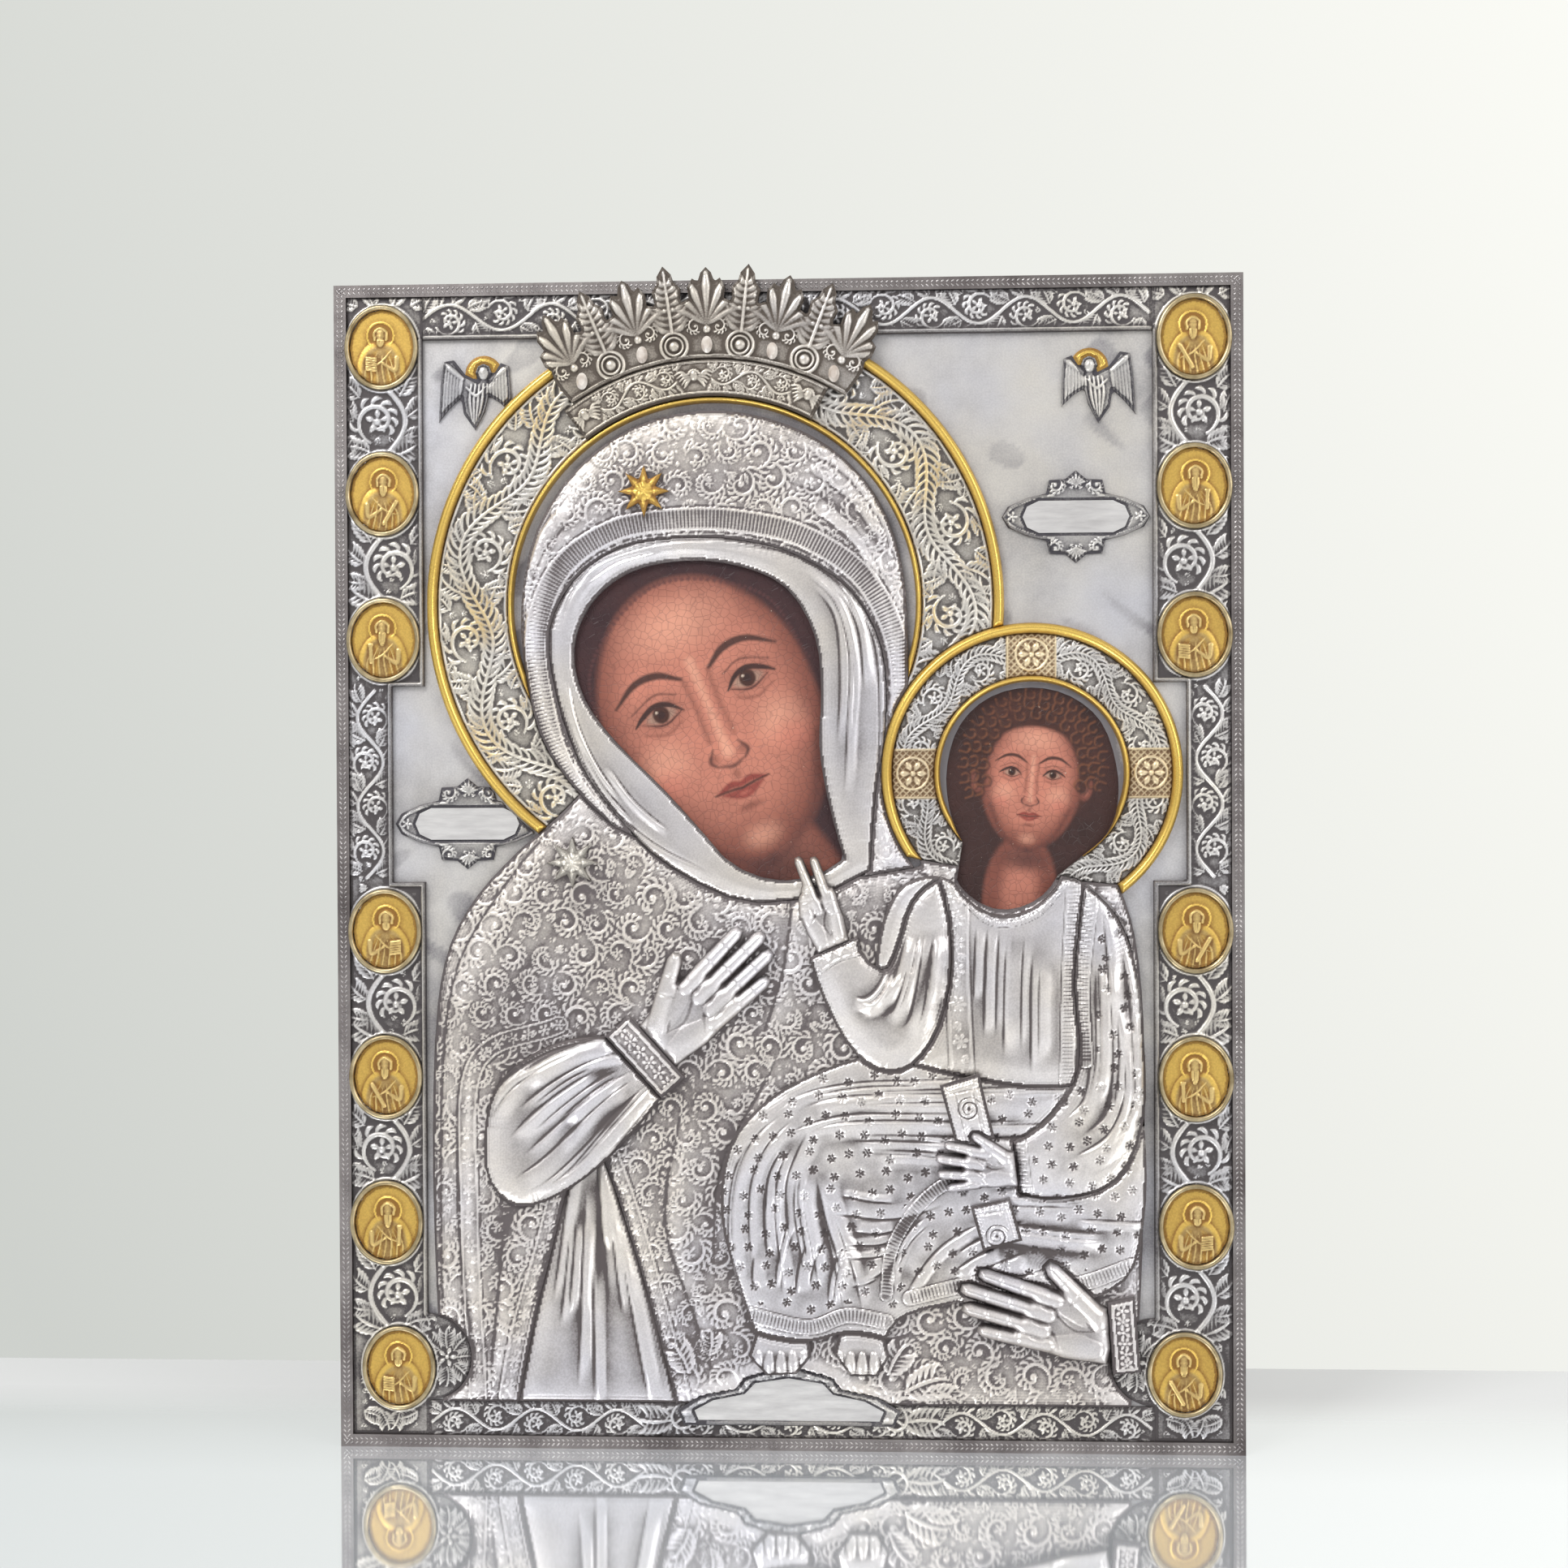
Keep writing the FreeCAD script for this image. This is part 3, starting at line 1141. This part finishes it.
for side, node, z in (
    (1, "cartouche_upper", size("upper_cartouche_z")),
    (-1, "cartouche_lower", size("lower_cartouche_z")),
):
    x = side * (field_half_width - size("cartouche_from_field_edge"))
    if side < 0:
        x = -half_width + size("waist_border_width") + size("cartouche_from_field_edge")
    across = size("cartouche_half_width")
    up = size("cartouche_half_height")
    frame_points = straight_sided([(x + across * p[0], z + up * p[1]) for p in CARTOUCHE_SHARES])
    plate_points = straight_sided([(x + across * p[0], z + up * p[1]) for p in PLATE_SHARES])
    behind = [mother_disc.Shape, mantle_cutter.Shape]
    frame_shape = prism(frame_points, field_front, size("cartouche_height"))
    frame_shape = frame_shape.cut(prism(plate_points, field_front, overrun))
    plate_shape = prism(plate_points, field_front, size("cartouche_plate_sheet"))
    for tool in behind:
        frame_shape = frame_shape.cut(tool)
        plate_shape = plate_shape.cut(tool)
    keep(f"{node}_frame", add_shape(f"{node}_frame", frame_shape))
    keep(f"{node}_plate", add_shape(f"{node}_plate", plate_shape))

TITLE_PLATE_SHARES = [
    (-0.86, -0.56), (0.86, -0.56), (0.9, -0.3), (0.72, -0.02), (0.42, 0.16), (0.32, 0.46), (0.0, 0.6),
    (-0.32, 0.46), (-0.42, 0.16), (-0.72, -0.02), (-0.9, -0.3),
]
title_frame = prism(from_title(TITLE_SHARES), border_front, mantle_front - border_front)
title_hole = prism(from_title(TITLE_PLATE_SHARES), border_front, overrun)
title_plate = prism(from_title(TITLE_PLATE_SHARES), border_front, size("cartouche_plate_sheet"))
keep("cartouche_title_frame", add_shape("title_frame", title_frame.cut(title_hole)))
keep("cartouche_title_plate", add_shape("title_plate", title_plate))

# Pins: domed heads that hold the edging to the board and the haloes' rims to the field


def pin(spot, direction):
    """The hammered head of one pin, with flat sides."""
    turn = FreeCAD.Rotation(V(0, 0, 1), direction)
    rings = []
    for radius, rise in ((size("pin_radius"), 0), (size("pin_radius") / 2, size("pin_height"))):
        turns = [2 * math.pi * k / PIN_SIDES for k in range(PIN_SIDES)]
        corners = [V(radius * math.cos(t), radius * math.sin(t), rise) for t in turns]
        rings.append([spot + turn.multVec(corner) for corner in corners])
    return solid_between(rings)


edge_pins = []
pitch = size("pin_pitch")
rows = int((height - pitch / 2) / pitch)
for k in range(rows):
    z = height / 2 + (k - (rows - 1) / 2) * pitch
    edge_pins.append(pin(V(-half_width, 0, z), V(-1, 0, 0)))
    edge_pins.append(pin(V(half_width, 0, z), V(1, 0, 0)))
columns = int((2 * half_width - pitch / 2) / pitch)
for k in range(columns):
    x = (k - (columns - 1) / 2) * pitch
    edge_pins.append(pin(V(x, 0, height), V(0, 0, 1)))
keep("edge_pins", add_shape("edge_pins", Part.Compound(edge_pins)))

# Hanger: a screwed strap whose rolled end carries a swinging ring

barrel_radius = size("ring_wire_radius") + size("ring_bore_slack") + size("barrel_wall")
BARREL_RADIUS = "(Sizes.ring_wire_radius + Sizes.ring_bore_slack + Sizes.barrel_wall)"
STRAP_HALF = "(Sizes.strap_width / 2)"
strap = new_body("hanger_strap")
leaf = new_sketch(strap, "strap_leaf", "XZ_Plane", f"-{BOARD_FACE} - Sizes.strap_sheet")
draw_polygon(
    leaf,
    [
        (f"-{STRAP_HALF}", "0"),
        (STRAP_HALF, "0"),
        (STRAP_HALF, "Sizes.strap_length - Sizes.strap_width / 4"),
        ("Sizes.strap_width / 4", "Sizes.strap_length"),
        ("-Sizes.strap_width / 4", "Sizes.strap_length"),
        (f"-{STRAP_HALF}", "Sizes.strap_length - Sizes.strap_width / 4"),
    ],
)
pad(strap, leaf, "Sizes.strap_sheet")
roll = new_sketch(strap, "strap_roll", "YZ_Plane")
draw_circle(roll, f"{BOARD_FACE} + {BARREL_RADIUS}", "0", BARREL_RADIUS)
rolled = pad(strap, roll, "Sizes.strap_width")
rolled.Midplane = True
eye = new_sketch(strap, "strap_eye", "YZ_Plane")
draw_circle(eye, f"{BOARD_FACE} + {BARREL_RADIUS}", "0", "Sizes.ring_wire_radius + Sizes.ring_bore_slack")
bored = pad(strap, eye, "2 * Sizes.strap_width", "PartDesign::Pocket")
bored.Midplane = True
holes = new_sketch(strap, "strap_holes", "XZ_Plane", f"-{BOARD_FACE} - Sizes.strap_sheet")
for screw in ("near_screw", "far_screw"):
    draw_circle(holes, "0", f"Sizes.{screw}", "Sizes.screw_radius + Sizes.screw_slack")
drilled = pad(strap, holes, "2 * Sizes.strap_sheet", "PartDesign::Pocket")
drilled.Midplane = True
place(strap, "0", "0", HANGER_LINE)
keep("hanger_strap", strap)

hanger_z = height - size("hanger_from_top") - size("strap_length")
screws = []
for name in ("near_screw", "far_screw"):
    foot = V(0, board_face + size("strap_sheet"), hanger_z + size(name))
    head = Part.makeCone(
        size("screw_head_radius"), size("screw_head_radius") * SCREW_FACE_SHARE, size("screw_head_height"),
        foot, V(0, 1, 0),
    )
    shank = Part.makeCylinder(
        size("screw_radius"), size("screw_length") + size("strap_sheet"), foot, V(0, -1, 0)
    )
    screws.append(head.fuse(shank).removeSplitter())
keep("hanger_screws", add_shape("hanger_screws", Part.Compound(screws)))

ring_y = board_face + barrel_radius
half_ring = size("ring_width") / 2
shoulder = size("ring_shoulder_radius")
bow = size("ring_bow_radius")
drop = size("ring_drop")


def corner_arc(x, z, radius, start, end):
    """A quarter turn of the ring's centre line."""
    turns = [math.radians(a) for a in (start, (start + end) / 2, end)]
    spots = [V(x + radius * math.cos(t), ring_y, hanger_z + z + radius * math.sin(t)) for t in turns]
    return Part.Arc(*spots).toShape()


def straight(start, end):
    """A straight stretch of the ring's centre line."""
    return Part.LineSegment(
        V(start[0], ring_y, hanger_z + start[1]), V(end[0], ring_y, hanger_z + end[1])
    ).toShape()


loop = Part.Wire(
    [
        corner_arc(half_ring - shoulder, -shoulder, shoulder, 90, 0),
        straight((half_ring, -shoulder), (half_ring, -drop + bow)),
        corner_arc(half_ring - bow, -drop + bow, bow, 0, -90),
        straight((half_ring - bow, -drop), (-half_ring + bow, -drop)),
        corner_arc(-half_ring + bow, -drop + bow, bow, 270, 180),
        straight((-half_ring, -drop + bow), (-half_ring, -shoulder)),
        corner_arc(-half_ring + shoulder, -shoulder, shoulder, 180, 90),
    ]
)
wire = size("ring_wire_radius")
section_points = []
for k in range(RING_SIDES + 1):
    angle = math.pi * (1 + 2 * k) / RING_SIDES
    section_points.append(
        V(half_ring - shoulder, ring_y + wire * math.cos(angle), hanger_z + wire * math.sin(angle))
    )
section = Part.makePolygon(section_points)
bow_solid = loop.makePipeShell([section], True, False)
bar = Part.makeCylinder(
    wire, size("ring_width") - 2 * shoulder, V(-half_ring + shoulder, ring_y, hanger_z), V(1, 0, 0)
)
keep("hanger_ring", add_shape("hanger_ring", bow_solid.fuse(bar).removeSplitter()))

# Checks and export

doc.recompute()
for item in doc.Objects:
    if {"Invalid", "Error"} & set(item.State):
        raise RuntimeError(f"{item.Label} failed: {item.State}")
os.makedirs("parts", exist_ok=True)
for node, item in kept.items():
    shape = item.Shape
    if shape.isNull() or not shape.isValid() or not shape.Solids:
        raise RuntimeError(f"{node} has no valid solid")
    shape.exportStep(f"parts/{node}.step")
    print(f"{node}: {len(shape.Solids)} solid(s), {shape.Volume:.0f} mm3")
